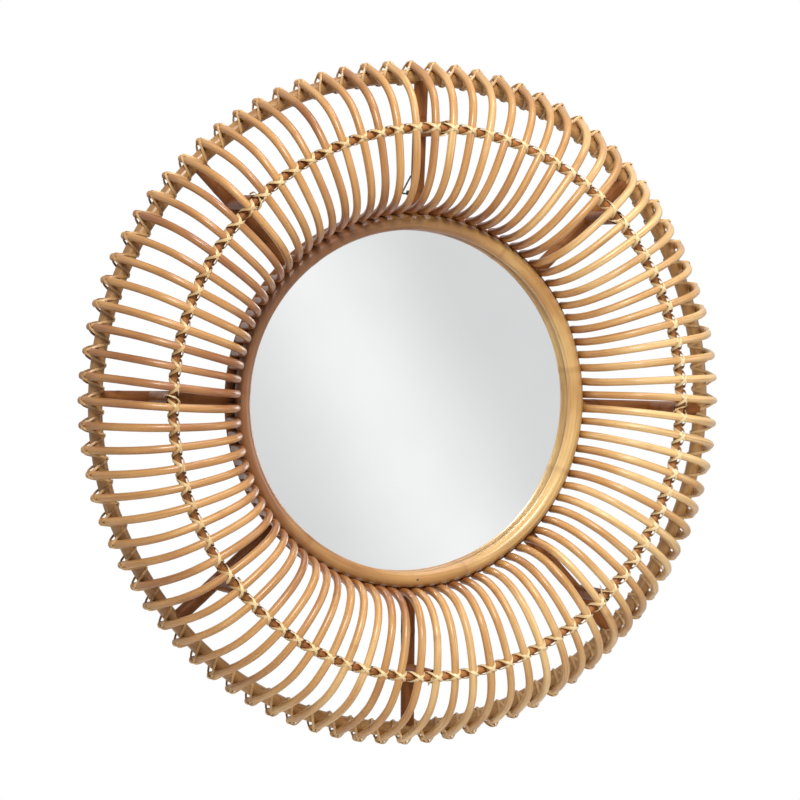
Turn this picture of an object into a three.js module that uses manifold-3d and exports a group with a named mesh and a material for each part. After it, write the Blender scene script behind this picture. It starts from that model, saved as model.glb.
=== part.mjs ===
// Round rattan wall mirror. Millimetres, +Z up, the mirror faces -Y and the wall lies at the +Y end.
// The sizes below are taken about the ring centre with the wall at y = 0. The whole part is then moved
// so that the origin is the point where the hanger ring sits on its wall hook.
import * as THREE from "three";
import { mergeVertices } from "three/addons/utils/BufferGeometryUtils.js";
import Module from "manifold-3d";

// ---- driving sizes ----
const FIT = 0.3; // clearance between neighbouring pieces
const SECTORS = 8; // struts, posts and rib panels
const RIBS_PER_SECTOR = 11;

const RIB_FLAT = 4.2; // half the width of a rib rod across its four flats
const RIB_START_R = 222.3; // ring radius where a rib leaves the back ring
const RIB_START_Y = -28.2;
const RIB_CROWN_R = 300; // ring radius and depth of the crown of the arch
const RIB_CROWN_Y = -113.5;
const RIB_END_R = 395; // ring radius and depth of the rib's outer end
const RIB_END_Y = -9.4;
const RIB_LEAN = -0.06; // sideways run of a rib per millimetre of ring radius
const RIB_LEAN_BEND = -0.00025;
const RIB_LEAN_FROM = 317;
const RIB_STATIONS = [0, 30, 68, 106, 136, 167, 180]; // degrees along the arch

const OUTER_POLE = { ring: 381.4, y: -21, r: 8.3, sides: 6, around: 44 };
const MIDDLE_ROD = { ring: 317, y: -99.9, r: 4.5, sides: 4, around: 44 };
const FRONT_POLE = { ring: 208.3, y: -35.9, r: 9, sides: 6, around: 44 };
const BACK_POLE = { ring: 217.8, y: -20, r: 7.5, sides: 4, around: 44 };

const STRAND_R = 1.6; // cane strand that ties the ribs along the middle rod

const STRUT_R = 8.2;
const STRUT_IN_Y = -24.5;
const STRUT_OUT_Y = -21.5;
const STRUT_OFF = [-0.9, -0.3, -0.4, 0, 1.8, -2.2, 0.55, 0]; // degrees each strut stands off its even place
const POST_R = 8;

const GLASS_R = 208.8;
const GLASS_T = 4;
const GLASS_FRONT_Y = FRONT_POLE.y + FRONT_POLE.r + 0.4;
const BOARD_T = 8;

const HOOK_R = 262; // height of the hook point above the ring centre
const HOOK_Y = -12.4;
const WIRE_R = 1;
const WIRE_W = 16; // inside width and height of the triangular hanger ring
const WIRE_H = 17;
const STRAP_W = 9;
const STRAP_H = 15;
const STRAP_T = 1.2;
const EYE_R = 3;
const EYE_BORE_R = 1.8;

// ---- materials ----
const material = (color, roughness, metalness) =>
  new THREE.MeshStandardMaterial({ color, roughness, metalness });
const HONEY = [0xc8914f, 0.45, 0];
const BROWN = [0x7a4a2c, 0.5, 0];
const OLIVE = [0xb08a50, 0.5, 0];

// ---- helpers ----
const wasm = await Module();
wasm.setup();

const solidOf = (geometry) => {
  const flat = geometry.index ? geometry.toNonIndexed() : geometry;
  const bare = new THREE.BufferGeometry();
  bare.setAttribute("position", flat.getAttribute("position"));
  const merged = mergeVertices(bare, 1e-3);
  return new wasm.Manifold(
    new wasm.Mesh({
      numProp: 3,
      vertProperties: new Float32Array(merged.attributes.position.array),
      triVerts: new Uint32Array(merged.index.array),
    }),
  );
};

const geometryOf = (solid) => {
  const mesh = solid.getMesh();
  const out = new THREE.BufferGeometry();
  const points = new Float32Array(mesh.numVert * 3);
  for (let i = 0; i < mesh.numVert; i += 1) {
    for (let k = 0; k < 3; k += 1) {
      points[3 * i + k] = mesh.vertProperties[mesh.numProp * i + k];
    }
  }
  out.setAttribute("position", new THREE.BufferAttribute(points, 3));
  out.setIndex(new THREE.BufferAttribute(new Uint32Array(mesh.triVerts), 1));
  out.computeVertexNormals();
  return out;
};

const part = new THREE.Group();
part.position.set(0, -HOOK_Y, -HOOK_R);

const add = (name, shape, look) => {
  const geometry = shape.isBufferGeometry ? shape : geometryOf(shape);
  const mesh = new THREE.Mesh(geometry, material(...look));
  mesh.name = name;
  part.add(mesh);
  return mesh;
};

const circle = (count, radius, turn = 0) =>
  Array.from({ length: count }, (_, i) => {
    const a = turn + (2 * Math.PI * i) / count;
    return new THREE.Vector2(radius * Math.cos(a), radius * Math.sin(a));
  });

// A pole bent into a ring about the y axis.
const ringPole = ({ ring, y, r, sides, around }, grow = 0) => {
  const profile = circle(sides, r + grow, Math.PI / sides);
  profile.push(profile[0].clone());
  const points = profile.map((p) => new THREE.Vector2(ring + p.x, y + p.y));
  return new THREE.LatheGeometry(points, around);
};

const rod = (from, to, radius, sides) => {
  const along = new THREE.Vector3().subVectors(to, from);
  const geometry = new THREE.CylinderGeometry(radius, radius, along.length(), sides);
  const turn = new THREE.Quaternion().setFromUnitVectors(
    new THREE.Vector3(0, 1, 0),
    along.clone().normalize(),
  );
  geometry.applyQuaternion(turn);
  geometry.translate(
    (from.x + to.x) / 2,
    (from.y + to.y) / 2,
    (from.z + to.z) / 2,
  );
  return geometry;
};

const onRing = (angle, radius, y, side = 0) =>
  new THREE.Vector3(
    radius * Math.cos(angle) - side * Math.sin(angle),
    y,
    radius * Math.sin(angle) + side * Math.cos(angle),
  );

// The arch of one rib: a quarter ellipse up to the crown and a longer one out and back to the rim.
class RibCurve extends THREE.Curve {
  getPoint(t) {
    const turn = Math.PI * t;
    const inner = turn < Math.PI / 2;
    const reach = inner ? RIB_CROWN_R - RIB_START_R : RIB_END_R - RIB_CROWN_R;
    const base = inner ? RIB_START_Y : RIB_END_Y;
    const radius = RIB_CROWN_R - reach * Math.cos(turn);
    const y = base + (RIB_CROWN_Y - base) * Math.sin(turn);
    const run = radius - RIB_LEAN_FROM;
    return onRing(0, radius, y, RIB_LEAN * run + RIB_LEAN_BEND * run * run);
  }
  getUtoTmapping(u) {
    const place = u * (RIB_STATIONS.length - 1);
    const i = Math.min(Math.floor(place), RIB_STATIONS.length - 2);
    const step = RIB_STATIONS[i + 1] - RIB_STATIONS[i];
    return (RIB_STATIONS[i] + step * (place - i)) / 180;
  }
}

const evenAngle = (k) => Math.PI / 2 - (2 * Math.PI * k) / SECTORS;
const strutAngle = (k) => evenAngle(k) + (Math.PI / 180) * STRUT_OFF[k % SECTORS];
const ribAngle = (k, i) =>
  evenAngle(k) - ((i + 0.5) * 2 * Math.PI) / (SECTORS * RIBS_PER_SECTOR);

const strutRod = (k, grow = 0) =>
  rod(
    onRing(strutAngle(k), 212, STRUT_IN_Y),
    onRing(strutAngle(k), 377.5, STRUT_OUT_Y),
    STRUT_R + grow,
    6,
  );

// ---- rings ----
add("outer_ring", ringPole(OUTER_POLE), OLIVE);
add("middle_ring", ringPole(MIDDLE_ROD), BROWN);
add("front_ring", ringPole(FRONT_POLE), HONEY);
add("back_ring", ringPole(BACK_POLE), BROWN);

// ---- glass and board ----
const glass = new THREE.CylinderGeometry(GLASS_R, GLASS_R, GLASS_T, 32);
glass.translate(0, GLASS_FRONT_Y + GLASS_T / 2, 0);
add("mirror_glass", glass, [0xdfe3e6, 0.03, 1]);
const board = new THREE.CylinderGeometry(GLASS_R, GLASS_R, BOARD_T, 32);
board.translate(0, GLASS_FRONT_Y + GLASS_T + FIT + BOARD_T / 2, 0);
add("backing_board", board, [0xa88a63, 0.8, 0]);

// ---- struts and posts ----
const outerRoom = solidOf(ringPole(OUTER_POLE, FIT + 0.3));
const backRoom = solidOf(ringPole(BACK_POLE, FIT + 0.3));
const middleRoom = solidOf(ringPole(MIDDLE_ROD, FIT + 0.2));
const frontReach = FRONT_POLE.ring + FRONT_POLE.r + FIT;
const frontRoom = solidOf(new THREE.CylinderGeometry(frontReach, frontReach, 90, 44));

for (let k = 0; k < SECTORS; k += 1) {
  const strut = solidOf(strutRod(k))
    .subtract(outerRoom)
    .subtract(backRoom)
    .subtract(frontRoom);
  add("strut_" + (k + 1), strut, BROWN);

  const foot = onRing(strutAngle(k), MIDDLE_ROD.ring, STRUT_OUT_Y);
  const head = onRing(strutAngle(k), MIDDLE_ROD.ring, MIDDLE_ROD.y + 1.5);
  const post = solidOf(rod(foot, head, POST_R, 6))
    .subtract(solidOf(strutRod(k, FIT + 0.4)))
    .subtract(middleRoom);
  const bodies = post.decompose().sort((a, b) => b.volume() - a.volume());
  add("post_" + (k + 1), bodies[0], BROWN);
}

// ---- rib panels: the ribs of one sector, held together by their cane strand ----
const strandY = MIDDLE_ROD.y - MIDDLE_ROD.r - 2 * STRAND_R;
const ribSection = new THREE.Shape(circle(4, RIB_FLAT * Math.SQRT2, Math.PI / 4));
const ribRod = new THREE.ExtrudeGeometry(ribSection, {
  steps: RIB_STATIONS.length - 1,
  bevelEnabled: false,
  extrudePath: new RibCurve(),
});
for (let k = 0; k < SECTORS; k += 1) {
  let panel = null;
  for (let i = 0; i < RIBS_PER_SECTOR; i += 1) {
    const rib = solidOf(ribRod.clone().rotateY(-ribAngle(k, i)));
    panel = panel ? panel.add(rib) : rib;
  }
  for (let i = 0; i + 1 < RIBS_PER_SECTOR; i += 1) {
    const from = onRing(ribAngle(k, i), MIDDLE_ROD.ring, strandY);
    const to = onRing(ribAngle(k, i + 1), MIDDLE_ROD.ring, strandY);
    const strand = rod(from, to, STRAND_R, 3);
    panel = panel.add(solidOf(strand));
  }
  for (const side of [k, k + 1]) {
    panel = panel.subtract(solidOf(strutRod(side, FIT + 0.2)));
  }
  add("rib_panel_" + (k + 1), panel, HONEY);
}

// ---- hanger on the back of the top strut ----
const steel = [0x55524e, 0.4, 1];
const eyeZ = HOOK_R - WIRE_H - WIRE_R;
const eyeY = HOOK_Y;
const strutBack = STRUT_IN_Y + STRUT_R + 1;
const slope = WIRE_W / 2 / WIRE_H;
const apex = HOOK_R + (2 * WIRE_R) / Math.sin(Math.atan(slope));
const ringTop = HOOK_R + 2 * WIRE_R;
const ringFoot = eyeZ - WIRE_R;
const outline = new THREE.Shape([
  new THREE.Vector2((ringTop - apex) * slope, ringTop),
  new THREE.Vector2((ringFoot - apex) * slope, ringFoot),
  new THREE.Vector2((apex - ringFoot) * slope, ringFoot),
  new THREE.Vector2((apex - ringTop) * slope, ringTop),
]);
const opening = [
  new THREE.Vector2(0, HOOK_R),
  new THREE.Vector2(WIRE_W / 2, HOOK_R - WIRE_H),
  new THREE.Vector2(-WIRE_W / 2, HOOK_R - WIRE_H),
];
outline.holes.push(new THREE.Path(opening));
const hanger = new THREE.ExtrudeGeometry(outline, { depth: 2 * WIRE_R, bevelEnabled: false });
hanger.rotateX(Math.PI / 2);
hanger.translate(0, HOOK_Y + WIRE_R, 0);
add("hanger_ring", solidOf(hanger), steel);

const eye = new THREE.CylinderGeometry(EYE_R, EYE_R, STRAP_W, 12);
eye.rotateZ(Math.PI / 2);
eye.translate(0, eyeY, eyeZ);
const bore = new THREE.CylinderGeometry(EYE_BORE_R, EYE_BORE_R, STRAP_W + 4, 12);
bore.rotateZ(Math.PI / 2);
bore.translate(0, eyeY, eyeZ);
const plate = new THREE.BoxGeometry(STRAP_W, STRAP_T, STRAP_H);
plate.translate(0, strutBack + STRAP_T / 2, eyeZ - STRAP_H / 2 - EYE_BORE_R);
const neck = new THREE.BoxGeometry(STRAP_W, eyeY - strutBack, STRAP_T);
neck.translate(0, (eyeY + strutBack) / 2, eyeZ - EYE_BORE_R - STRAP_T / 2);
const strap = solidOf(eye)
  .add(solidOf(plate))
  .add(solidOf(neck))
  .subtract(solidOf(bore));
add("hanger_strap", strap, steel);

const screw = new THREE.CylinderGeometry(2.8, 2.8, 1.6, 10);
screw.translate(0, strutBack + STRAP_T + FIT + 0.8, eyeZ - STRAP_H / 2 - 3);
add("hanger_screw", screw, steel);

export default part;
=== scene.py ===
import math
import random

import bpy
import numpy as np
from mathutils import Matrix, Vector


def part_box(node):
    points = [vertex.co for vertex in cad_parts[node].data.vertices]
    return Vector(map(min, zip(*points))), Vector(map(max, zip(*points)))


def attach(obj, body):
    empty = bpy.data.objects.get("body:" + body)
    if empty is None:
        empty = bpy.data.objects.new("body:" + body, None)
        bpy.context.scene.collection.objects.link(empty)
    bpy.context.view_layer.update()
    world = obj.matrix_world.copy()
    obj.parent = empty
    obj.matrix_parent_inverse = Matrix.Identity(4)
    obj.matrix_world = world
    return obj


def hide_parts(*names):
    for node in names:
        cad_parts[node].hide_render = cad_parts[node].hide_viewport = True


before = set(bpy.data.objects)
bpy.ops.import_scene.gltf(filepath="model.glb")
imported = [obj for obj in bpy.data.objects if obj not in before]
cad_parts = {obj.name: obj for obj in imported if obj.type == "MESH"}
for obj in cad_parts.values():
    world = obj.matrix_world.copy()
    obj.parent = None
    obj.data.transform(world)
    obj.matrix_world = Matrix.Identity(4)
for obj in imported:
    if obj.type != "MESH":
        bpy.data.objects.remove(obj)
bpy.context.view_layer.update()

# ---- sizes, in millimetres: radii about the centre of the rings, depths in front of the wall ----
MM = 0.001
RIM_LOW, RIM_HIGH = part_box("outer_ring")
CENTRE_Z = (RIM_LOW[2] + RIM_HIGH[2]) / 2
POLE_DEPTH = 21
WALL_Y = (RIM_LOW[1] + RIM_HIGH[1]) / 2 + POLE_DEPTH * MM

SECTORS = 8
RIBS_PER_SECTOR = 11
RIB_COUNT = SECTORS * RIBS_PER_SECTOR
RIB_R = 4.6
RIB_SIDES = 12
RIB_STEPS = 46
# Ring radius and depth of the arch of a rib, from its inner end over the crown to the cut outer end.
RIB_ARCH = (
    (223.3, 30), (224.6, 54), (232, 78), (246, 96), (268, 109), (300, 114),
    (330, 111), (354, 100), (372, 79), (384, 54), (392, 31), (396, 13),
)
# A rib leans sideways as it runs out: not at all at the middle rod, and by these either side of it.
LEAN_FROM = 317
LEAN = -0.0613
LEAN_BEND = -0.000255

FRONT_RING = {"ring": 209.2, "depth": 35.9, "r": 9.2}
BACK_RING = {"ring": 217.8, "depth": 20, "r": 7.5}
OUTER_POLE = {"ring": 381.6, "depth": POLE_DEPTH, "r": 8.4}
MIDDLE_ROD = {"ring": 317, "depth": 103.2, "r": 4.5}

STRUT_R = 8.2
STRUT_DEPTH_IN = 24.5
STRUT_DEPTH_OUT = 21.5
STRUT_FROM = 214
STRUT_OFF = (-0.9, -0.3, -0.4, 0, 1.8, -2.2, 0.55, 0)  # degrees each strut stands off its even place
POST_R = 8
SAG = 2.6  # how far the rim hangs below the centre of the rings
# Where the rim bulges out or in: ring angle in degrees, half its spread, millimetres.
RIM_BULGES = ((58, 24, 5.5), (217, 17, -3.2), (277, 18, 2.2), (332, 12, -2.2))
SQUEEZE = 2.4  # how much narrower the arches stand at the two sides

CROWN_CANE_W = 3.5
RIM_CANE_W = 3.0
CANE_T = 0.9

GLASS_R = 208.5
GLASS_FRONT = 25.2
GLASS_BACK = 22.6
BOARD_FRONT = GLASS_BACK - 0.3
BOARD_BACK = 14.3


def place(angle, ring, depth, side=0.0):
    """Points at these ring angles, and ring radii, depths and sideways offsets in millimetres."""
    angle, ring, depth, side = np.broadcast_arrays(angle, ring, depth, side)
    x = ring * np.cos(angle) - side * np.sin(angle)
    z = ring * np.sin(angle) + side * np.cos(angle)
    return np.stack([x * MM, WALL_Y - depth * MM, CENTRE_Z + z * MM], axis=-1)


def even_angle(k):
    return math.pi / 2 - 2 * math.pi * k / SECTORS


def strut_angle(k):
    return even_angle(k) + math.radians(STRUT_OFF[k % SECTORS])


def rib_angle(k, i):
    return even_angle(k) - (i + 0.5) * 2 * math.pi / RIB_COUNT


def rim_shift(angle):
    """How far the rim stands out from a true circle at this ring angle."""
    shift = -SAG * np.sin(angle) - 0.4 * SQUEEZE * np.cos(angle) ** 2
    for at, width, size in RIM_BULGES:
        off = (np.degrees(angle) - at + 180) % 360 - 180
        shift = shift + size * np.exp(-((off / width) ** 2))
    return shift


def painted_left_shade(angle):
    """Painted shade: none at the right, 0, and most at the left, 1, the side the light reaches least."""
    return 0.5 - 0.5 * np.cos(angle + math.radians(18))


def crown_shift(angle):
    return -SQUEEZE * np.cos(angle) ** 2


# ---- camera: angles, metres from the mirror, and the lens in millimetres ----
VIEW_SIDE = math.radians(-21.19)
VIEW_UP = math.radians(1.9)
HUNG_TURN = math.radians(1.8)
VIEW_FROM = 4.3197
AIM = Vector((0, WALL_Y - 14 * MM, CENTRE_Z))
SENSOR = 36
LENS = 165.2
LENS_SHIFT = (-0.00615, 0.0005)


def set_camera():
    """The camera in front and to the left, on a mirror that hangs a little turned on its hook."""
    hung = Matrix.Rotation(-HUNG_TURN, 3, "Y")
    level = math.cos(VIEW_UP)
    away = Vector((math.sin(VIEW_SIDE) * level, -math.cos(VIEW_SIDE) * level, math.sin(VIEW_UP)))
    away = hung @ away
    up = hung @ Vector((0, 0, 1))
    right = up.cross(away).normalized()
    up = away.cross(right).normalized()
    turn = Matrix((right, up, away)).transposed().to_4x4()
    data = bpy.data.cameras.new("view")
    data.sensor_width = SENSOR
    data.lens = LENS
    data.shift_x, data.shift_y = LENS_SHIFT
    camera = bpy.data.objects.new("view", data)
    camera.matrix_world = Matrix.Translation(AIM + away * VIEW_FROM) @ turn
    bpy.context.scene.collection.objects.link(camera)
    bpy.context.scene.camera = camera


# ---- mesh helpers ----
def smooth_path(points, count, closed=False):
    """A smooth curve through the points, given again as count points evenly spaced along it."""
    p = np.asarray(points, float)
    if closed:
        p = np.vstack([p[-1], p, p[0], p[1]])
    else:
        p = np.vstack([2 * p[0] - p[1], p, 2 * p[-1] - p[-2]])
    per_span = 24
    t = (np.arange(per_span) / per_span)[:, None]
    spans = []
    for a, b, c, d in zip(p[:-3], p[1:-2], p[2:-1], p[3:]):
        square = 2 * a - 5 * b + 4 * c - d
        cube = 3 * b - a - 3 * c + d
        spans.append(0.5 * (2 * b + (c - a) * t + square * t**2 + cube * t**3))
    curve = np.vstack(spans + [p[-2][None]])
    run = np.concatenate([[0], np.cumsum(np.linalg.norm(np.diff(curve, axis=0), axis=1))])
    at = np.linspace(0, run[-1], count)
    return np.stack([np.interp(at, run, curve[:, k]) for k in range(p.shape[1])], axis=-1)


def unit(v):
    return v / np.linalg.norm(v, axis=-1, keepdims=True)


def round_outline(sides, width, height, squareness=2.0):
    """A closed outline: a circle or ellipse, or a rounded flat strip for a larger squareness."""
    a = (np.arange(sides) + 0.5) * 2 * np.pi / sides
    c, s = np.cos(a), np.sin(a)
    p = 2 / squareness
    return np.stack(
        [np.sign(c) * np.abs(c) ** p * width / 2, np.sign(s) * np.abs(s) ** p * height / 2], axis=-1
    )


class Bundle:
    """Gathers swept canes into one mesh, with what the finishes read at each vertex."""

    # further is a second place along the cane, which lets the fibres of a ring close on themselves and
    # tells one cane from the next. tone runs from pale to dark, and holds painted shade as well as each
    # cane's own tone. knuckle and cut are 1 at those places.
    FACTS = ("further", "tone", "knuckle", "cut")

    def __init__(self):
        self.places, self.faces, self.straightened = [], [], []
        self.facts = {name: [] for name in self.FACTS}
        self.count = 0

    def add(self, places, faces, straightened, **facts):
        self.places.append(places)
        self.straightened.append(straightened)
        self.faces += [tuple(int(v) + self.count for v in f) for f in faces]
        for name in self.FACTS:
            value = facts.get(name, 0.0)
            self.facts[name].append(np.broadcast_to(np.asarray(value, float), (len(places),)))
        self.count += len(places)

    def piece(self, name, material, *nodes, slot, sharp=50):
        """The mesh as a piece that stands for these CAD nodes."""
        mesh = bpy.data.meshes.new(name)
        mesh.from_pydata(np.vstack(self.places).tolist(), [], self.faces)
        mesh.materials.append(material)
        mesh.shade_smooth()
        mesh.set_sharp_from_angle(angle=math.radians(sharp))
        layer = mesh.attributes.new("straightened", "FLOAT_VECTOR", "POINT")
        layer.data.foreach_set("vector", np.vstack(self.straightened).ravel())
        for fact in self.FACTS:
            layer = mesh.attributes.new(fact, "FLOAT", "POINT")
            layer.data.foreach_set("value", np.concatenate(self.facts[fact]))
        piece = bpy.data.objects.new(name, mesh)
        bpy.context.scene.collection.objects.link(piece)
        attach(piece, "root")
        if nodes:
            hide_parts(*nodes)


def sweep(bundle, path, outline, across, grow=1.0, closed=False, tone=0.5, knuckle=0.0, further=0.0,
          start=0.0, end_round=0.35):
    """Runs the outline along the path. across is the direction of the outline's first axis, and grow
    scales the outline at each point. An open sweep gets eased ends, end_round millimetres long."""
    path = np.asarray(path, float)
    n, m = len(path), len(outline)
    if closed:
        along = unit(np.roll(path, -1, 0) - np.roll(path, 1, 0))
    else:
        along = unit(np.gradient(path, axis=0))
    first = unit(across - np.sum(across * along, -1, keepdims=True) * along)
    second = np.cross(along, first)
    grow = np.broadcast_to(np.asarray(grow, float), (n,))
    run = np.concatenate([[0], np.cumsum(np.linalg.norm(np.diff(path, axis=0), axis=1))]) + start
    knuckle = np.broadcast_to(np.asarray(knuckle, float), (n,))
    tone = np.broadcast_to(np.asarray(tone, float), (n,))
    end_size = 1 - end_round * 0.35
    rings, flat, cut, knots, tones = [], [], [], [], []

    def ring(i, size, push, is_cut):
        at = outline * grow[i] * size * MM
        rings.append(path[i] + along[i] * push * MM + at[:, :1] * first[i] + at[:, 1:] * second[i])
        flat.append(np.column_stack([at, np.full(m, run[i] + push * MM)]))
        cut.append(np.full(m, is_cut))
        knots.append(np.full(m, knuckle[i]))
        tones.append(np.full(m, tone[i]))

    if not closed:
        ring(0, end_size, -end_round, 1.0)
    for i in range(n):
        ring(i, 1.0, 0.0, 0.0)
    if not closed:
        ring(n - 1, end_size, end_round, 1.0)
    count = len(rings)
    places = np.vstack(rings)
    straightened = np.vstack(flat)
    if closed:
        angle = 2 * np.pi * np.arange(n) / n
        ring_r = run[-1] / (2 * np.pi) * n / (n - 1)
        straightened[:, 2] = np.repeat(ring_r * np.cos(angle), m)
        further = np.repeat(ring_r * np.sin(angle), m)
    faces = []
    for i in range(count if closed else count - 1):
        j = (i + 1) % count
        for a in range(m):
            b = (a + 1) % m
            faces.append((i * m + a, i * m + b, j * m + b, j * m + a))
    if not closed:
        faces.append(tuple(range(m - 1, -1, -1)))
        faces.append(tuple((count - 1) * m + a for a in range(m)))
    bundle.add(places, faces, straightened, further=further, tone=np.concatenate(tones),
               knuckle=np.concatenate(knots), cut=np.concatenate(cut))


def coped_rod(bundle, start, end, radius, shape_start, shape_end, first, tone, knuckle_at, further, steps,
              taper=0.0):
    """A straight rod whose ends are shaped to sit against a neighbour. shape_start and shape_end give
    how far each point of the end moves along the rod, from its offsets along first and second."""
    start, end, first = (np.asarray(v, float) for v in (start, end, first))
    length = np.linalg.norm(end - start)
    along = (end - start) / length
    first = unit(first - np.dot(first, along) * along)
    second = np.cross(along, first)
    sides = 24
    a = np.arange(sides) * 2 * np.pi / sides
    circle = np.column_stack([np.cos(a), np.sin(a)])
    end_sizes = (0.0, 0.3, 0.6, 0.85, 0.96)
    rows = [(size, 0.0, 1.0) for size in end_sizes]
    rows += [(1.0, t, 0.0) for t in np.linspace(0, 1, steps)]
    rows += [(size, 1.0, 1.0) for size in reversed(end_sizes)]
    places, flat, cut, knots = [], [], [], []
    for size, t, is_cut in rows:
        swell = 1.0 + taper * (0.5 - t)
        knot = 0.0
        for at in knuckle_at:
            knot += math.exp(-(((t - at) * length / (2.5 * MM)) ** 2))
        at = circle * radius * size * (swell + 0.03 * knot)
        low = shape_start(at[:, 0], at[:, 1])
        high = length / MM + shape_end(at[:, 0], at[:, 1])
        z = (low + (high - low) * t) * MM
        places.append(start + z[:, None] * along + at[:, :1] * MM * first + at[:, 1:] * MM * second)
        flat.append(np.column_stack([at * MM, z]))
        cut.append(np.full(sides, is_cut))
        knots.append(np.full(sides, knot))
    faces = []
    for i in range(len(rows) - 1):
        for b in range(sides):
            c = (b + 1) % sides
            lower, upper = i * sides, (i + 1) * sides
            if i == 0:
                faces.append((0, upper + c, upper + b))
            elif i == len(rows) - 2:
                faces.append((lower + b, lower + c, upper))
            else:
                faces.append((lower + b, lower + c, upper + c, upper + b))
    places, flat = np.vstack(places), np.vstack(flat)
    cut, knots = np.concatenate(cut), np.concatenate(knots)
    keep = np.r_[0, sides : (len(rows) - 1) * sides + 1]
    number = np.zeros(len(places), int)
    number[keep] = np.arange(len(keep))
    faces = [tuple(number[v] for v in f) for f in faces]
    bundle.add(places[keep], faces, flat[keep], further=further, tone=tone, knuckle=knots[keep],
               cut=cut[keep])


# ---- finishes ----
def new_group(name, inputs, outputs):
    tree = bpy.data.node_groups.new(name, "ShaderNodeTree")
    for label, kind, value in inputs:
        socket = tree.interface.new_socket(label, in_out="INPUT", socket_type="NodeSocket" + kind)
        if value is not None:
            socket.default_value = value
    for label, kind in outputs:
        tree.interface.new_socket(label, in_out="OUTPUT", socket_type="NodeSocket" + kind)
    return tree, tree.nodes.new("NodeGroupInput"), tree.nodes.new("NodeGroupOutput")


class Wires:
    """Short ways to add nodes to one tree."""

    def __init__(self, tree):
        self.nodes, self.links = tree.nodes, tree.links

    def feed(self, socket, value):
        if isinstance(value, bpy.types.NodeSocket):
            self.links.new(value, socket)
        else:
            socket.default_value = value

    def maths(self, operation, a, b=0.0, c=None):
        node = self.nodes.new("ShaderNodeMath")
        node.operation = operation
        self.feed(node.inputs[0], a)
        self.feed(node.inputs[1], b)
        if c is not None:
            self.feed(node.inputs[2], c)
        return node.outputs[0]

    def stretch(self, vector, scale):
        node = self.nodes.new("ShaderNodeVectorMath")
        node.operation = "MULTIPLY"
        self.feed(node.inputs[0], vector)
        self.feed(node.inputs[1], scale)
        return node.outputs[0]

    def noise(self, vector, further, scale, lengthwise, detail=2.0, rough=0.5):
        """Noise that is scale times finer across the cane and lengthwise times finer along it."""
        node = self.nodes.new("ShaderNodeTexNoise")
        node.noise_dimensions = "4D"
        self.feed(node.inputs["Vector"], self.stretch(vector, (scale, scale, lengthwise)))
        self.feed(node.inputs["W"], self.maths("MULTIPLY", further, lengthwise))
        node.inputs["Scale"].default_value = 1.0
        node.inputs["Detail"].default_value = detail
        node.inputs["Roughness"].default_value = rough
        return node.outputs[0]

    def between(self, value, low, high, to_low=0.0, to_high=1.0):
        node = self.nodes.new("ShaderNodeMapRange")
        node.interpolation_type = "SMOOTHSTEP"
        self.feed(node.inputs["Value"], value)
        for label, number in zip(("From Min", "From Max", "To Min", "To Max"), (low, high, to_low, to_high)):
            node.inputs[label].default_value = number
        return node.outputs[0]

    def mix(self, share, a, b, blend="MIX"):
        node = self.nodes.new("ShaderNodeMix")
        node.data_type, node.blend_type = "RGBA", blend
        self.feed(node.inputs["Factor"], share)
        self.feed(node.inputs[6], a)
        self.feed(node.inputs[7], b)
        return node.outputs[2]

    def attribute(self, name, output="Fac"):
        node = self.nodes.new("ShaderNodeAttribute")
        node.attribute_name = name
        return node.outputs[output]

    def where(self):
        """Places on the piece, in metres."""
        return self.nodes.new("ShaderNodeTexCoord").outputs["Object"]

    def relief(self, height, strength, depth):
        """The normals of a fine relief about depth millimetres deep."""
        node = self.nodes.new("ShaderNodeBump")
        node.inputs["Strength"].default_value = strength
        node.inputs["Distance"].default_value = depth * MM
        self.links.new(height, node.inputs["Height"])
        return node.outputs["Normal"]


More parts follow.
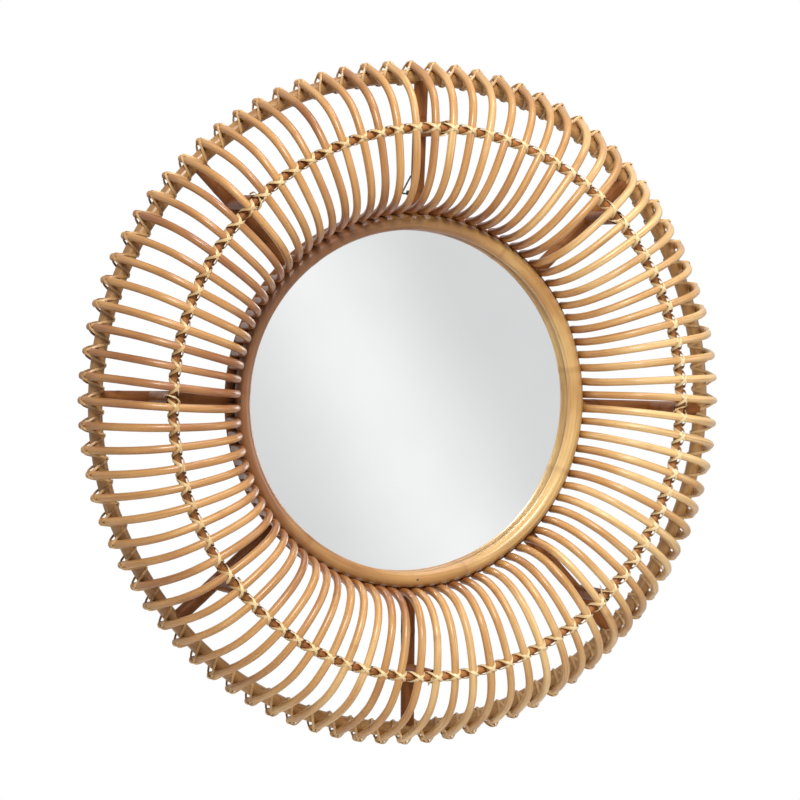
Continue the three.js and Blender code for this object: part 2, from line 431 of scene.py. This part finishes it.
def make_cane_skin():
    """The skin of a varnished rattan pole: long fibres, slow colour drift, knuckles and a cut end."""
    tree, given, out = new_group(
        "cane_skin",
        [
            ("Straightened", "Vector", None),
            ("Further", "Float", 0.0),
            ("Tone", "Float", 0.5),
            ("Knuckle", "Float", 0.0),
            ("Cut", "Float", 0.0),
            ("Pale", "Color", (1, 1, 1, 1)),
            ("Body", "Color", (1, 1, 1, 1)),
            ("Deep", "Color", (1, 1, 1, 1)),
            ("End Grain", "Color", (1, 1, 1, 1)),
            ("Fibre", "Float", 1.0),
        ],
        [("Colour", "Color"), ("Roughness", "Float"), ("Height", "Float")],
    )
    w = Wires(tree)
    at, further = given.outputs["Straightened"], given.outputs["Further"]
    fibre = w.noise(at, further, 1500, 22, 3.0, 0.6)
    streak = w.noise(at, further, 420, 9, 2.0)
    drift = w.noise(at, further, 45, 13, 2.0)
    fleck = w.noise(at, further, 620, 150, 1.0)
    warm = w.maths("ADD", w.maths("MULTIPLY", given.outputs["Tone"], 0.7), w.maths("MULTIPLY", drift, 0.75))
    colour = w.mix(w.between(warm, 0.28, 0.62), given.outputs["Pale"], given.outputs["Body"])
    colour = w.mix(w.between(warm, 0.6, 0.98), colour, given.outputs["Deep"])
    shade = w.maths("MULTIPLY", w.between(streak, 0.42, 0.72), 0.45)
    shade = w.maths("MULTIPLY", shade, given.outputs["Fibre"])
    colour = w.mix(shade, colour, given.outputs["Deep"])
    lift = w.maths("MULTIPLY", w.between(fibre, 0.5, 0.75), 0.22)
    colour = w.mix(w.maths("MULTIPLY", lift, given.outputs["Fibre"]), colour, given.outputs["Pale"])
    speck = w.maths("MULTIPLY", w.between(fleck, 0.735, 0.78), 0.5)
    colour = w.mix(speck, colour, w.mix(1.0, given.outputs["Deep"], (0.35, 0.25, 0.2, 1), "MULTIPLY"))
    knot = w.maths("MULTIPLY", given.outputs["Knuckle"], 0.42)
    colour = w.mix(knot, colour, w.mix(1.0, given.outputs["Deep"], (0.85, 0.68, 0.5, 1), "MULTIPLY"))
    pores = w.noise(at, further, 2600, 10, 1.0)
    grain = w.mix(w.between(pores, 0.45, 0.6), given.outputs["End Grain"], given.outputs["Deep"])
    colour = w.mix(given.outputs["Cut"], colour, grain)
    rough = w.maths("MULTIPLY_ADD", fibre, 0.22, 0.28)
    rough = w.maths("MULTIPLY_ADD", given.outputs["Cut"], 0.3, rough)
    height = w.maths("MULTIPLY_ADD", streak, 0.6, w.maths("MULTIPLY", fibre, 0.5))
    w.links.new(colour, out.inputs["Colour"])
    w.links.new(rough, out.inputs["Roughness"])
    w.links.new(height, out.inputs["Height"])
    return tree


def colour_of(red, green, blue):
    """A finish colour, given as the eye sees it from 0 to 255."""
    return (*(((c / 255 + 0.055) / 1.055) ** 2.4 for c in (red, green, blue)), 1.0)


def plain_material(name):
    """A new material, its shader and the wires to build on."""
    material = bpy.data.materials.new(name)
    material.use_nodes = True
    return material, material.node_tree.nodes["Principled BSDF"], Wires(material.node_tree)


def cane_finish(name, pale, body, deep, end_grain, fibre=1.0, coat=0.3, shine=0.45):
    """A varnished cane in these colours. fibre is how strongly its fibres show."""
    material, shader, w = plain_material(name)
    skin = w.nodes.new("ShaderNodeGroup")
    skin.node_tree = CANE_SKIN
    w.feed(skin.inputs["Straightened"], w.attribute("straightened", "Vector"))
    for label in ("Further", "Tone", "Knuckle", "Cut"):
        w.feed(skin.inputs[label], w.attribute(label.lower()))
    for label, value in (("Pale", pale), ("Body", body), ("Deep", deep), ("End Grain", end_grain)):
        skin.inputs[label].default_value = colour_of(*value)
    skin.inputs["Fibre"].default_value = fibre
    w.links.new(skin.outputs["Colour"], shader.inputs["Base Color"])
    w.links.new(skin.outputs["Roughness"], shader.inputs["Roughness"])
    w.links.new(w.relief(skin.outputs["Height"], 0.35, 0.25), shader.inputs["Normal"])
    shader.inputs["Coat Weight"].default_value = coat
    shader.inputs["Coat Roughness"].default_value = 0.22
    shader.inputs["Specular IOR Level"].default_value = shine
    return material


def silver_finish():
    """Silvered glass: a clean mirror with the faintest haze of dust."""
    material, shader, w = plain_material("silvered_glass")
    where = w.where()
    dust = w.noise(where, 0.0, 9, 9, 2.0)
    w.links.new(w.between(dust, 0.3, 0.8, 0.012, 0.03), shader.inputs["Roughness"])
    tint = w.mix(w.between(dust, 0.3, 0.7), colour_of(248, 249, 249), colour_of(245, 246, 246))
    w.links.new(tint, shader.inputs["Base Color"])
    shader.inputs["Metallic"].default_value = 1.0
    return material


def board_finish():
    """Pressed fibre board: short matted fibres, matt."""
    material, shader, w = plain_material("fibre_board")
    where = w.where()
    mat = w.noise(where, 0.0, 260, 260, 4.0, 0.7)
    cloud = w.noise(where, 0.0, 7, 7, 2.0)
    colour = w.mix(w.between(mat, 0.3, 0.7), colour_of(150, 116, 76), colour_of(186, 152, 108))
    colour = w.mix(w.between(cloud, 0.35, 0.75, 0, 0.3), colour, colour_of(128, 98, 66))
    w.links.new(colour, shader.inputs["Base Color"])
    w.links.new(w.between(mat, 0.2, 0.8, 0.7, 0.9), shader.inputs["Roughness"])
    w.links.new(w.relief(mat, 0.3, 0.3), shader.inputs["Normal"])
    return material


def steel_finish():
    """Dark drawn wire and strap, a little mottled."""
    material, shader, w = plain_material("dark_steel")
    where = w.where()
    mottle = w.noise(where, 0.0, 700, 700, 3.0)
    colour = w.mix(w.between(mottle, 0.35, 0.7), colour_of(74, 72, 70), colour_of(128, 124, 118))
    w.links.new(colour, shader.inputs["Base Color"])
    w.links.new(w.between(mottle, 0.3, 0.7, 0.28, 0.5), shader.inputs["Roughness"])
    shader.inputs["Metallic"].default_value = 1.0
    return material


def floor_finish():
    """Pale matt paper."""
    material, shader, _ = plain_material("pale_floor")
    shader.inputs["Base Color"].default_value = (0.93, 0.93, 0.925, 1)
    shader.inputs["Roughness"].default_value = 0.8
    return material


CANE_SKIN = make_cane_skin()
# The four colours of a cane are its pale, body and deep skin and its end grain.
HONEY = cane_finish("honey_cane", (226, 188, 128), (192, 142, 82), (142, 86, 44), (150, 108, 66))
FRONT = cane_finish(
    "front_ring_cane", (222, 186, 122), (182, 136, 78), (128, 80, 42), (190, 146, 96), fibre=0.9
)
# Its end grain is near black: painted shade for the hollow where each post head is coped round the middle
# rod.
DARK = cane_finish(
    "dark_cane", (186, 128, 76), (146, 92, 50), (100, 58, 30), (70, 38, 22), fibre=1.2, coat=0.0, shine=0.12
)
OLIVE = cane_finish(
    "olive_cane", (212, 174, 114), (184, 140, 84), (146, 102, 56), (176, 136, 90), fibre=1.3, coat=0.15
)
STRIP = cane_finish(
    "flat_cane", (240, 220, 176), (224, 198, 148), (188, 152, 100), (206, 172, 122), fibre=0.8, coat=0.15
)
RIM_STRIP = cane_finish(
    "rim_cane", (226, 194, 142), (206, 168, 114), (168, 124, 76), (190, 150, 104), fibre=0.8, coat=0.15
)
SILVER = silver_finish()
BOARD = board_finish()
STEEL = steel_finish()


# ---- poles and rods ----
def knuckles(run, places, width=2.2):
    """How strongly each place along a cane belongs to one of its knuckles, from 0 to 1."""
    total = np.zeros(len(run))
    for at in places:
        total += np.exp(-(((run - at) / width) ** 2))
    return np.clip(total, 0, 1)


def slow_wander(rng, angle, size, waves=5):
    """A small unevenness that closes on itself round the ring."""
    total = np.zeros(len(angle))
    for wave in range(1, waves + 1):
        total += rng.uniform(-1, 1) * np.cos(wave * angle + rng.uniform(0, 2 * math.pi)) / wave**0.5
    return size * total / 2


def ring_pole(name, sizes, finish, slot, node, seed, shift=None, sides=24, steps=300, uneven=0.03,
              wander=0.4, tone=0.5, left_shade_share=0.0):
    """A pole bent into a ring, with its own knuckles and small unevenness. shift moves the ring out or
    in with the angle, and the share of painted shade says how much darker it is painted at the left."""
    rng = random.Random(seed)
    angle = np.arange(steps) * 2 * np.pi / steps
    ring = sizes["ring"] + slow_wander(rng, angle, wander) + (shift(angle) if shift else 0)
    depth = sizes["depth"] + slow_wander(rng, angle, wander * 0.5)
    run = angle * sizes["ring"]
    spots, at, seam = [], rng.uniform(20, 160), 30
    while at < run[-1] - seam:
        spots.append(at)
        at += rng.uniform(170, 330)
    knots = knuckles(run, spots)
    grow = 1 + slow_wander(rng, angle, uneven, 7) + 0.035 * knuckles(run, spots, 4.5)
    across = np.column_stack([np.cos(angle), np.zeros(steps), np.sin(angle)])
    outline = round_outline(sides, 2 * sizes["r"], 2 * sizes["r"])
    bundle = Bundle()
    sweep(bundle, place(angle, ring, depth), outline, across, grow=grow, closed=True,
          tone=tone + left_shade_share * painted_left_shade(angle), knuckle=knots)
    bundle.piece(name, finish, node, slot=slot)


def make_rings():
    # The front ring, outer pole and middle rod get painted shade at the left, the front ring most.
    ring_pole("front_ring_pole", FRONT_RING, FRONT, "honey_cane", "front_ring", 11, steps=360,
              uneven=0.012, wander=0.2, tone=0.0, left_shade_share=1.0)
    ring_pole("back_ring_pole", BACK_RING, DARK, "dark_cane", "back_ring", 12, tone=0.45)
    ring_pole("outer_pole", OUTER_POLE, OLIVE, "olive_cane", "outer_ring", 13, rim_shift, steps=360,
              tone=0.3, left_shade_share=0.35)
    ring_pole("middle_rod", MIDDLE_ROD, DARK, "dark_cane", "middle_ring", 14, crown_shift, sides=16,
              uneven=0.04, tone=-0.15, left_shade_share=0.3)


def rib_path(angle, rng):
    """One rib's arch at this ring angle, each a little different, as hand-bent canes are."""
    arch = smooth_path(RIB_ARCH, RIB_STEPS)
    ring, depth = arch[:, 0], arch[:, 1]
    share = np.linspace(0, 1, RIB_STEPS)
    depth = depth + rng.uniform(-1.2, 1.2) * np.sin(np.pi * share)
    ring = ring + (crown_shift(angle) + rng.uniform(-1.0, 1.0)) * np.sin(np.pi * share)
    ring = ring + rim_shift(angle) * share**4
    last = depth[-1] + rng.uniform(-1.5, 2.5)
    depth = np.maximum(depth, last + (1 - share) * 3)
    run = ring - LEAN_FROM
    side = LEAN * run + LEAN_BEND * run**2
    side = side + rng.uniform(-0.9, 0.9) + rng.uniform(-0.8, 0.8) * np.sin(2 * np.pi * share)
    return place(angle, ring, depth, side)


def make_ribs():
    """The arched ribs, a piece for each sector. Each is darker near its inner end, from painted shade next
    to the front ring and some stain.
    """
    rng = random.Random(21)
    inner_shade_for = 55
    outline = round_outline(RIB_SIDES, 2 * RIB_R, 2 * RIB_R)
    for k in range(SECTORS):
        bundle = Bundle()
        for i in range(RIBS_PER_SECTOR):
            angle = rib_angle(k, i)
            path = rib_path(angle, rng)
            run = np.concatenate([[0], np.cumsum(np.linalg.norm(np.diff(path, axis=0), axis=1))]) / MM
            spots = [rng.uniform(30, run[-1] - 40)] if rng.random() < 0.55 else []
            share = run / run[-1]
            grow = 1 + rng.uniform(-0.04, 0.04) + rng.uniform(-0.05, 0.05) * (share - 0.5)
            grow = grow + 0.02 * np.sin(share * rng.uniform(8, 16) + rng.uniform(0, 6))
            grow = grow + 0.035 * knuckles(run, spots, 4.0)
            sideways = np.array([-math.sin(angle), 0, math.cos(angle)])
            across = np.broadcast_to(sideways, (RIB_STEPS, 3))
            # Painted shade darkens the ribs at the left, each rib's own tone differs at random, and painted
            # shade with some stain darkens each near its inner end.
            tone = 0.04 + 0.5 * painted_left_shade(angle) + rng.uniform(-0.17, 0.17)
            tone = tone + (0.5 + 0.3 * painted_left_shade(angle)) * np.exp(-((run / inner_shade_for) ** 2))
            sweep(bundle, path, outline, across, grow=grow, tone=tone,
                  knuckle=0.6 * knuckles(run, spots, 1.6), further=rng.uniform(0, 50),
                  start=rng.uniform(0, 3), end_round=0.5)
        bundle.piece(f"ribs_{k + 1}", HONEY, f"rib_panel_{k + 1}", slot="honey_cane")


def make_struts_and_posts():
    """Straight poles behind the arches, coped to the rings, and a post on each for the middle rod."""
    rng = random.Random(31)
    pole_r = OUTER_POLE["r"] * 1.03
    for k in range(SECTORS):
        angle = strut_angle(k)
        pole_ring = OUTER_POLE["ring"] + rim_shift(angle)
        rod_ring = MIDDLE_ROD["ring"] + crown_shift(angle)
        sideways = np.array([-math.sin(angle), 0, math.cos(angle)])
        forward = np.array([0, -1.0, 0])
        lean = (STRUT_DEPTH_OUT - STRUT_DEPTH_IN) / (pole_ring - STRUT_FROM)

        def at_front_ring(a, b):
            off = STRUT_DEPTH_IN + a - FRONT_RING["depth"]
            clear = np.sqrt(np.maximum((FRONT_RING["r"] + 0.4) ** 2 - off**2, 0))
            return np.maximum(FRONT_RING["ring"] + clear - STRUT_FROM, 0)

        def at_outer_pole(a, b):
            off = STRUT_DEPTH_OUT + a - OUTER_POLE["depth"]
            return -np.sqrt(np.maximum((pole_r + 0.5) ** 2 - off**2, 0))

        strut = Bundle()
        coped_rod(strut, place(angle, STRUT_FROM, STRUT_DEPTH_IN), place(angle, pole_ring, STRUT_DEPTH_OUT),
                  STRUT_R, at_front_ring, at_outer_pole, forward, tone=rng.uniform(0.2, 0.8),
                  knuckle_at=(rng.uniform(0.15, 0.35), rng.uniform(0.6, 0.9)), further=rng.uniform(0, 50),
                  steps=60, taper=rng.uniform(-0.06, 0.06))
        strut.piece(f"strut_pole_{k + 1}", DARK, f"strut_{k + 1}", slot="dark_cane")

        rod_r = MIDDLE_ROD["r"] + 1.0
        strut_here = STRUT_DEPTH_IN + lean * (rod_ring - STRUT_FROM)

        def on_strut(a, b):
            return np.sqrt(np.maximum((STRUT_R + 0.1) ** 2 - a**2, 0))

        def round_rod(a, b):
            cope = np.sqrt(np.maximum(rod_r**2 - b**2, 0))
            return np.where(np.abs(b) < rod_r, -cope, 1.5 * (np.abs(b) - rod_r) / (POST_R - rod_r))

        post = Bundle()
        coped_rod(post, place(angle, rod_ring, strut_here), place(angle, rod_ring, MIDDLE_ROD["depth"]),
                  POST_R, on_strut, round_rod, sideways, tone=rng.uniform(0.1, 0.6),
                  knuckle_at=(rng.uniform(0.3, 0.7),), further=rng.uniform(0, 50), steps=24)
        post.piece(f"post_pole_{k + 1}", DARK, f"post_{k + 1}", slot="dark_cane")


# ---- flat cane lashing ----
def lashing(bundle, ring, depth, turn, start, seed, shift, width):
    """One flat cane wound round a ring, once for each rib. turn holds how far along the pitch, how far
    out and how far forward of the ring's core it runs, from one rib to the next."""
    rng = random.Random(seed)
    pitch = 2 * math.pi / RIB_COUNT
    turn = np.asarray(turn, float)
    points = []
    for i in range(RIB_COUNT):
        jitter = rng.uniform(-0.25, 0.25)
        for along, out, front in turn[:-1]:
            at = start - (i + along) * pitch
            points.append((at, ring + out + 0.5 * jitter, depth + front, out, front))
    out, front = turn[-1][1:]
    points.append((start - RIB_COUNT * pitch, ring + out, depth + front, out, front))
    steps = RIB_COUNT * 24
    fine = smooth_path(np.array(points) * [ring, 1, 1, 1, 1], steps)
    angle = fine[:, 0] / ring
    path = place(angle, fine[:, 1] + shift(angle), fine[:, 2])
    outward = place(angle, fine[:, 3], fine[:, 4]) - place(angle, 0 * angle, 0 * angle)
    along = unit(np.gradient(path, axis=0))
    flat = unit(np.cross(along, unit(outward)))
    outline = round_outline(8, width, CANE_T, 3.2)
    # Painted shade darkens the cane at the left; the rest of its tone wanders at random.
    tone = 0.25 + 0.3 * painted_left_shade(angle) + slow_wander(rng, angle, 0.25, 40)
    sweep(bundle, path, outline, flat, tone=tone, further=float(seed), end_round=0.1)


def make_lashings():
    """Two canes wound opposite ways over the middle rod and its ribs, and two round the outer pole."""
    first_rib = rib_angle(0, 0)
    over = 15.3
    reach = RIB_ARCH[-2][0] - LEAN_FROM
    rim_start = first_rib + (LEAN * reach + LEAN_BEND * reach**2) / RIB_ARCH[-2][0]
    crossing = (
        (0.0, 0.0, over), (0.12, 1.9, over - 0.5), (0.205, 3.5, over - 3.4), (0.285, 4.9, 7.4),
        (0.365, 5.8, 2.6), (0.43, 4.6, -2.4), (0.5, 0.0, -5.4), (0.57, -4.6, -2.4), (0.635, -5.8, 2.6),
        (0.715, -4.9, 7.4), (0.795, -3.5, over - 3.4), (0.88, -1.9, over - 0.5), (1.0, 0.0, over),
    )
    middle = Bundle()
    rod = (MIDDLE_ROD["ring"], MIDDLE_ROD["depth"])
    lashing(middle, *rod, crossing, first_rib, 41, crown_shift, CROWN_CANE_W)
    other = [(a, -out, front + CANE_T * math.cos(2 * math.pi * a)) for a, out, front in crossing]
    lashing(middle, *rod, other, first_rib, 42, crown_shift, CROWN_CANE_W)
    middle.piece("middle_lashing", STRIP, slot="honey_cane")

    rim = (
        (0.0, 17.4, 4.5), (0.07, 16.7, 6.5), (0.13, 13.8, 8.2), (0.2, 10.0, 9.0), (0.3, 4.0, 9.3),
        (0.41, -4.8, 7.9), (0.5, -9.4, 0.0), (0.59, -4.8, -7.9), (0.7, 4.0, -9.3), (0.79, 10.5, -7.4),
        (0.87, 15.0, -3.5), (0.94, 17.0, 1.0), (1.0, 17.4, 4.5),
    )
    outer = Bundle()
    pole = (OUTER_POLE["ring"], OUTER_POLE["depth"])
    lashing(outer, *pole, rim, rim_start, 43, rim_shift, RIM_CANE_W)
    other = [(1 - a, out + CANE_T * math.cos(2 * math.pi * a), front) for a, out, front in reversed(rim)]
    lashing(outer, *pole, other, rim_start, 44, rim_shift, RIM_CANE_W)
    outer.piece("rim_lashing", RIM_STRIP, slot="honey_cane")


# ---- glass, board and hanger ----
def disc(name, radius, front, back, edge, material, node, slot):
    """A round plate with its edge eased. The low sharp angle keeps its faces shaded as true planes."""
    sides = 160
    half, flat, eased = radius * 0.5, radius - edge, edge * 0.3
    profile = (
        (half, front), (flat, front), (radius - eased, front - eased), (radius, front - edge),
        (radius, back + edge), (radius - eased, back + eased), (flat, back), (half, back),
    )
    angle = np.arange(sides) * 2 * np.pi / sides
    rows = [place(angle, np.full(sides, ring), depth) for ring, depth in profile]
    places = np.vstack([place(0, 0, front)[None], *rows, place(0, 0, back)[None]])
    faces = []
    last = len(places) - 1
    for a in range(sides):
        b = (a + 1) % sides
        faces.append((0, 1 + a, 1 + b))
        for row in range(len(rows) - 1):
            low, high = 1 + row * sides, 1 + (row + 1) * sides
            faces.append((low + a, high + a, high + b, low + b))
        low = 1 + (len(rows) - 1) * sides
        faces.append((low + b, low + a, last))
    bundle = Bundle()
    bundle.add(places, faces, places)
    bundle.piece(name, material, node, slot=slot, sharp=5)


def make_glass_and_board():
    disc("silvered_pane", GLASS_R, GLASS_FRONT, GLASS_BACK, 1.0, SILVER, "mirror_glass", "silvered_glass")
    disc("fibre_board_disc", GLASS_R, BOARD_FRONT, BOARD_BACK, 0.5, BOARD, "backing_board", "fibre_board")


def make_hanger():
    """The wire ring bent round three corners, and the strap and screw in steel as the frame has them."""
    low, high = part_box("hanger_ring")
    wire, inset, bend = 1.0, 1.2, 1.6 * 0.8
    half = (high[0] - low[0]) / 2 / MM - wire - inset
    top, foot = high[2] / MM - wire - inset, low[2] / MM + wire + 0.3
    points = []
    for x, z, turn_from, turn_to in ((0, top, 155, 25), (half, foot, 25, -90), (-half, foot, -90, -205)):
        for turn in np.radians(np.linspace(turn_from, turn_to, 5)):
            points.append((x + bend * math.cos(turn), 0.0, z + bend * math.sin(turn)))
    path = smooth_path(np.array(points) * MM, 96, closed=True)[:-1]
    bundle = Bundle()
    across = np.broadcast_to(np.array([0, 1.0, 0]), path.shape)
    sweep(bundle, path, round_outline(12, 2 * wire, 2 * wire), across, closed=True)
    bundle.piece("hanger_wire", STEEL, "hanger_ring", slot="dark_steel")
    for node in ("hanger_strap", "hanger_screw"):
        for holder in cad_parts[node].material_slots:
            holder.material = STEEL


def make_loose_ends():
    """At each post the lashing cane is tied off, and a thin end of it is left standing in a loop. The
    loop's points lie sideways, outward and forward of the middle rod."""
    rng = random.Random(61)
    bundle = Bundle()
    for k in range(SECTORS):
        angle = strut_angle(k)
        ring = MIDDLE_ROD["ring"] + crown_shift(angle)
        lift = rng.uniform(5, 8)
        loop = [(-7, -9, -6), (-3, -8.5, 3), (1, -5, lift), (4, 2, lift + 2), (6, 8, 2), (3, 9, -7)]
        turn = rng.choice((-1, 1))
        path = []
        for side, out, front in loop:
            point = place(angle, ring + out + rng.uniform(-1, 1), MIDDLE_ROD["depth"] + front, turn * side)
            path.append(point)
        path = smooth_path(path, 40)
        across = np.broadcast_to(np.array([math.cos(angle), 0, math.sin(angle)]), path.shape)
        sweep(bundle, path, round_outline(8, 2.2, 0.8, 3.0), across, tone=rng.uniform(0, 0.4),
              further=rng.uniform(0, 50), end_round=0.1)
    bundle.piece("loose_cane_ends", STRIP, slot="honey_cane")


def make_nails():
    """The wire nails whose heads show, as low round domes: ring angle, radius and depth, and the way
    each head points, outward and forward."""
    front, rim = FRONT_RING["r"], FRONT_RING["ring"]
    left, foot = strut_angle(6), strut_angle(4)
    post_foot = MIDDLE_ROD["ring"] - 22
    seats = (
        (left + 0.01, rim + 0.5 * front, FRONT_RING["depth"] + 0.86 * front, 0.5, 0.86),
        (foot + 0.02, rim, FRONT_RING["depth"] + front, 0.0, 1.0),
        (left + 0.004, post_foot, STRUT_DEPTH_OUT + STRUT_R + 0.4, 0.0, 1.0),
    )
    bundle = Bundle()
    for angle, ring, depth, out, forward in seats:
        steps = np.array([-0.6, 0.1, 0.5, 0.75])
        path = place(angle, ring + steps * out, depth + steps * forward)
        across = np.broadcast_to(np.array([-math.sin(angle), 0, math.cos(angle)]), path.shape)
        sweep(bundle, path, round_outline(12, 2.8, 2.8), across, grow=(0.9, 1.0, 0.85, 0.45), end_round=0.1)
    bundle.piece("nail_heads", STEEL, slot="dark_steel")


# ---- studio ----
def make_studio():
    """A pale floor below, white all round, soft lamps, and a light grey for the glass to mirror, with a
    soft lighter band slanting through it."""
    scene = bpy.context.scene
    scene.view_settings.view_transform = "Standard"
    mesh = bpy.data.meshes.new("floor")
    floor_z, floor_r, sides = CENTRE_Z - 1.15, 4.2, 96
    edge = [2 * math.pi * i / sides for i in range(sides)]
    rim = [(floor_r * math.cos(a), floor_r * math.sin(a), floor_z) for a in edge]
    mesh.from_pydata(rim, [], [tuple(range(sides))])
    floor = bpy.data.objects.new("floor", mesh)
    mesh.materials.append(floor_finish())
    scene.collection.objects.link(floor)

    world = bpy.data.worlds.new("studio")
    scene.world = world
    world.use_nodes = True
    tree = world.node_tree
    w = Wires(tree)
    light_path = tree.nodes.new("ShaderNodeLightPath")
    seen, mirrored = light_path.outputs["Is Camera Ray"], light_path.outputs["Is Glossy Ray"]
    heading = tree.nodes.new("ShaderNodeSeparateXYZ")
    w.links.new(tree.nodes.new("ShaderNodeTexCoord").outputs["Generated"], heading.inputs[0])
    ahead = w.maths("MAXIMUM", w.maths("MULTIPLY", heading.outputs[1], -1.0), 0.05)
    right = w.maths("DIVIDE", heading.outputs[0], ahead)
    above = w.maths("DIVIDE", heading.outputs[2], ahead)
    band_right, band_above, band_at = 20.4, 13.1, -7.43
    slant = w.maths("MULTIPLY_ADD", right, band_right, w.maths("MULTIPLY_ADD", above, band_above, band_at))
    band = w.between(w.maths("ABSOLUTE", slant), 0.0, 1.0, 1.0, 0.0)
    reflected = w.mix(band, (0.72, 0.72, 0.723, 1), (0.95, 0.95, 0.95, 1))
    around = w.mix(mirrored, (0.3, 0.3, 0.303, 1), reflected)
    back = tree.nodes["Background"]
    w.links.new(w.mix(seen, around, (1, 1, 1, 1)), back.inputs["Color"])

    def lamp(name, at, size, power, colour=(1, 1, 1)):
        """A round soft lamp aimed at the mirror, its size in metres and its power in watts."""
        data = bpy.data.lights.new(name, "AREA")
        data.shape = "DISK"
        data.size, data.energy, data.color = size, power, colour
        data.spread = math.radians(150)
        item = bpy.data.objects.new(name, data)
        item.location = at
        item.rotation_euler = (AIM - Vector(at)).to_track_quat("-Z", "Y").to_euler()
        scene.collection.objects.link(item)

    lamp("key", (-1.1, -2.9, 1.9), 1.0, 84, (1.0, 0.985, 0.96))
    lamp("fill", (3.3, -2.2, 0.3), 1.6, 22)
    lamp("top", (0.5, -0.6, 2.4), 1.4, 26)


set_camera()
make_rings()
make_ribs()
make_struts_and_posts()
make_lashings()
make_glass_and_board()
make_hanger()
make_loose_ends()
make_nails()
make_studio()
